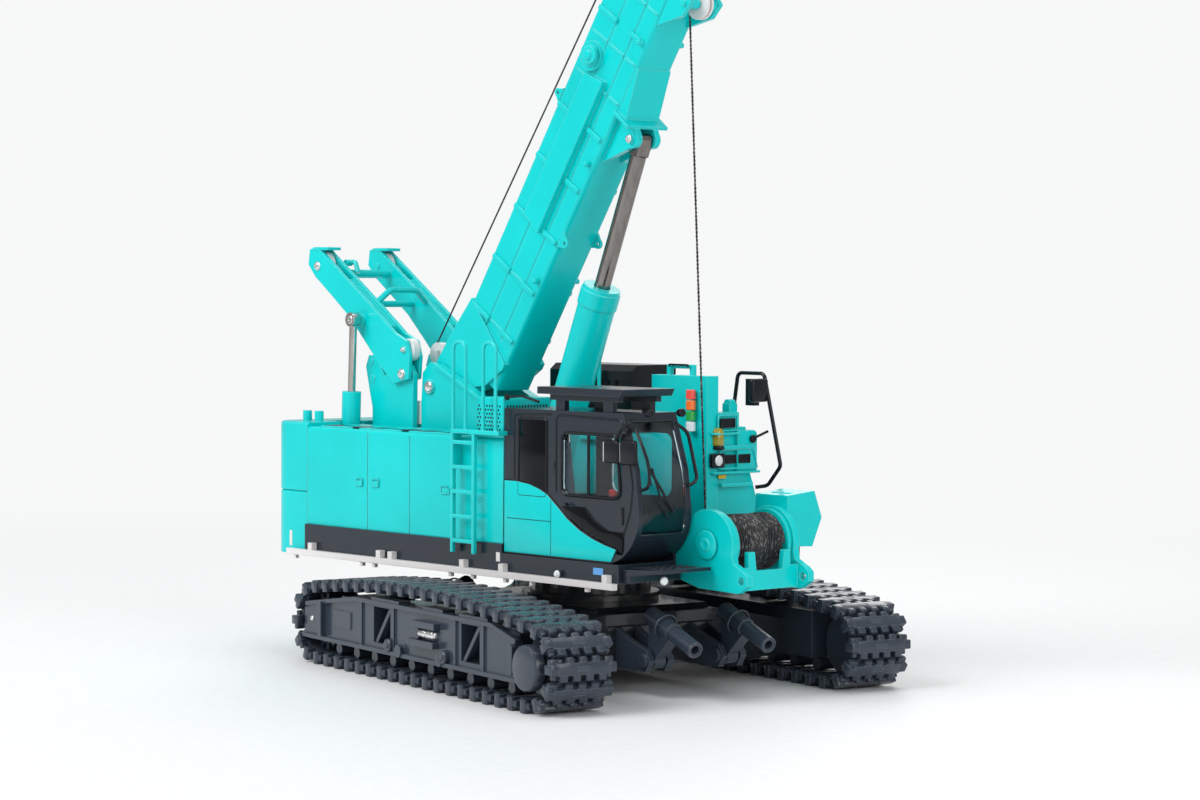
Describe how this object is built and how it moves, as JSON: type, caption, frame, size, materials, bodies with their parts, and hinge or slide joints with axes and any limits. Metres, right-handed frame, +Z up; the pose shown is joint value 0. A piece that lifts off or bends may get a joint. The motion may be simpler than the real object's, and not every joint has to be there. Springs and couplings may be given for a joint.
{
  "type": "crawler crane scale model with telescopic boom",
  "caption": "Die-cast scale model of a crawler crane with a telescopic boom, a lift cylinder, a folding assembly mast, a front winch and swing-down jacks.",
  "frame": {"origin": "on the slewing axis, at the ground under the tracks", "axes": "+Z up, +Y the front of the superstructure, where the front winch is, +X its cab side; the tracks stand turned 10.1 degrees clockwise, seen from above"},
  "size_m": [0.1216, 0.1939, 0.2612],
  "materials": {
    "teal_enamel": "gloss",
    "dark_enamel": "gloss",
    "white_plastic": "gloss",
    "dark_plastic": "satin",
    "black_plastic": "gloss",
    "clear_plastic": "clear",
    "bright_rod": "polished",
    "lamp_plastic": "gloss"
  },
  "bodies": {
    "undercarriage": {"car_body": "dark_enamel", "jack_brackets": "dark_enamel", "slew_ring": "dark_enamel", "track_frame_left": "dark_enamel", "track_frame_right": "dark_enamel", "track_left": "dark_enamel", "track_right": "dark_enamel", "track_wheels_left": "dark_enamel", "track_wheels_right": "dark_enamel"},
    "superstructure": {"cab_glass": "clear_plastic", "cab_roof_guard": "dark_plastic", "cab_seat": "black_plastic", "cab_shell": "dark_plastic", "cab_side_panel": "teal_enamel", "cab_step": "dark_plastic", "cab_windscreen": "clear_plastic", "catwalk_left": "white_plastic", "catwalk_right": "white_plastic", "console_tower": "teal_enamel", "counterweight_lower": "teal_enamel", "counterweight_upper": "teal_enamel", "deck": "dark_plastic", "doors_left": "teal_enamel", "doors_right": "teal_enamel", "foot_brackets": "teal_enamel", "guide_sheave": "white_plastic", "handrail": "teal_enamel", "house_left": "teal_enamel", "house_right": "teal_enamel", "intake_hood": "dark_plastic", "ladder": "teal_enamel", "main_winch_frame": "teal_enamel", "mast_stand": "teal_enamel", "mirror_rail": "black_plastic", "tower_lamps": "lamp_plastic", "winch_frame": "teal_enamel", "winch_motor": "teal_enamel"},
    "boom": {"boom_base": "teal_enamel", "boom_deflector": "teal_enamel", "deflector_sheave": "white_plastic"},
    "boom_section_2": {"boom_section_2": "teal_enamel"},
    "boom_section_3": {"boom_section_3": "teal_enamel"},
    "boom_section_4": {"boom_section_4": "teal_enamel", "boom_head": "teal_enamel", "head_sheaves": "white_plastic"},
    "hook": {"hook_block": "teal_enamel"},
    "lift_barrel": {"lift_barrel": "teal_enamel"},
    "lift_rod": {"lift_rod": "bright_rod"},
    "mast": {"mast": "teal_enamel", "mast_sheaves": "white_plastic"},
    "mast_barrels": {"mast_barrels": "teal_enamel"},
    "mast_rods": {"mast_rods": "bright_rod"},
    "front_drum": {"front_drum": "teal_enamel"},
    "main_drum": {"main_drum": "teal_enamel"},
    "jack_front_right": {"jack_front_right": "dark_enamel"},
    "jack_front_left": {"jack_front_left": "dark_enamel"},
    "jack_rear_right": {"jack_rear_right": "dark_enamel"},
    "jack_rear_left": {"jack_rear_left": "dark_enamel"}
  },
  "joints": [
    {"name": "slew", "type": "hinge", "parent": "undercarriage", "child": "superstructure", "pos_m": [0, 0, 0.0254], "axis": [0, 0, 1], "continuous": true},
    {"name": "boom_raise", "type": "hinge", "parent": "superstructure", "child": "boom", "pos_m": [0, -0.052, 0.0697], "axis": [1, 0, 0], "range_deg": [-36.9, 23.1]},
    {"name": "telescope_1", "type": "slide", "parent": "boom", "child": "boom_section_2", "axis": [0, 0.5461, 0.8377], "range_m": [0, 0.12]},
    {"name": "telescope_2", "type": "slide", "parent": "boom_section_2", "child": "boom_section_3", "axis": [0, 0.5461, 0.8377], "range_m": [0, 0.12]},
    {"name": "telescope_3", "type": "slide", "parent": "boom_section_3", "child": "boom_section_4", "axis": [0, 0.5461, 0.8377], "range_m": [0, 0.12]},
    {"name": "hook_hang", "type": "hinge", "parent": "boom_section_4", "child": "hook", "pos_m": [0, 0.09006, 0.24807], "axis": [1, 0, 0], "range_deg": [-23.6, 37.4]},
    {"name": "lift_barrel_tilt", "type": "hinge", "parent": "superstructure", "child": "lift_barrel", "pos_m": [0, -0.0195, 0.038], "axis": [1, 0, 0], "range_deg": [-32.6, 20.6]},
    {"name": "lift_rod_slide", "type": "slide", "parent": "lift_barrel", "child": "lift_rod", "axis": [0, 0.3729, 0.9279], "range_m": [-0.02787, 0.01763]},
    {"name": "mast_raise", "type": "hinge", "parent": "superstructure", "child": "mast", "pos_m": [0, -0.0592, 0.0729], "axis": [1, 0, 0], "range_deg": [-15, 30]},
    {"name": "mast_barrel_tilt", "type": "hinge", "parent": "superstructure", "child": "mast_barrels", "pos_m": [0, -0.0775, 0.047], "axis": [1, 0, 0], "range_deg": [-5.22, 9.95]},
    {"name": "mast_rod_slide", "type": "slide", "parent": "mast_barrels", "child": "mast_rods", "axis": [0, 0.0326, 0.9995], "range_m": [-0.00988, 0.00494]},
    {"name": "front_drum_spin", "type": "hinge", "parent": "superstructure", "child": "front_drum", "pos_m": [0, 0.053, 0.0362], "axis": [1, 0, 0], "continuous": true},
    {"name": "main_drum_spin", "type": "hinge", "parent": "superstructure", "child": "main_drum", "pos_m": [0, -0.067, 0.044], "axis": [1, 0, 0], "continuous": true},
    {"name": "jack_front_right_swing", "type": "hinge", "parent": "undercarriage", "child": "jack_front_right", "pos_m": [0.01803, 0.0425, 0.0089], "axis": [0.9845, -0.1754, 0], "range_deg": [-70, 0]},
    {"name": "jack_front_left_swing", "type": "hinge", "parent": "undercarriage", "child": "jack_front_left", "pos_m": [-0.00225, 0.04611, 0.0089], "axis": [0.9845, -0.1754, 0], "range_deg": [-70, 0]},
    {"name": "jack_rear_right_swing", "type": "hinge", "parent": "undercarriage", "child": "jack_rear_right", "pos_m": [0.00225, -0.04611, 0.0089], "axis": [-0.9845, 0.1754, 0], "range_deg": [-70, 0]},
    {"name": "jack_rear_left_swing", "type": "hinge", "parent": "undercarriage", "child": "jack_rear_left", "pos_m": [-0.01803, -0.0425, 0.0089], "axis": [-0.9845, 0.1754, 0], "range_deg": [-70, 0]}
  ],
  "couplings": [
    {"joint": "hook_hang", "follows": "boom_raise", "ratio": -1},
    {"joint": "lift_barrel_tilt", "follows": "boom_raise", "ratio": 0.87},
    {"joint": "lift_rod_slide", "follows": "boom_raise", "m_per_rad": 0.0425},
    {"joint": "mast_barrel_tilt", "follows": "mast_raise", "ratio": 0.315},
    {"joint": "mast_rod_slide", "follows": "mast_raise", "m_per_rad": -0.0185}
  ]
}
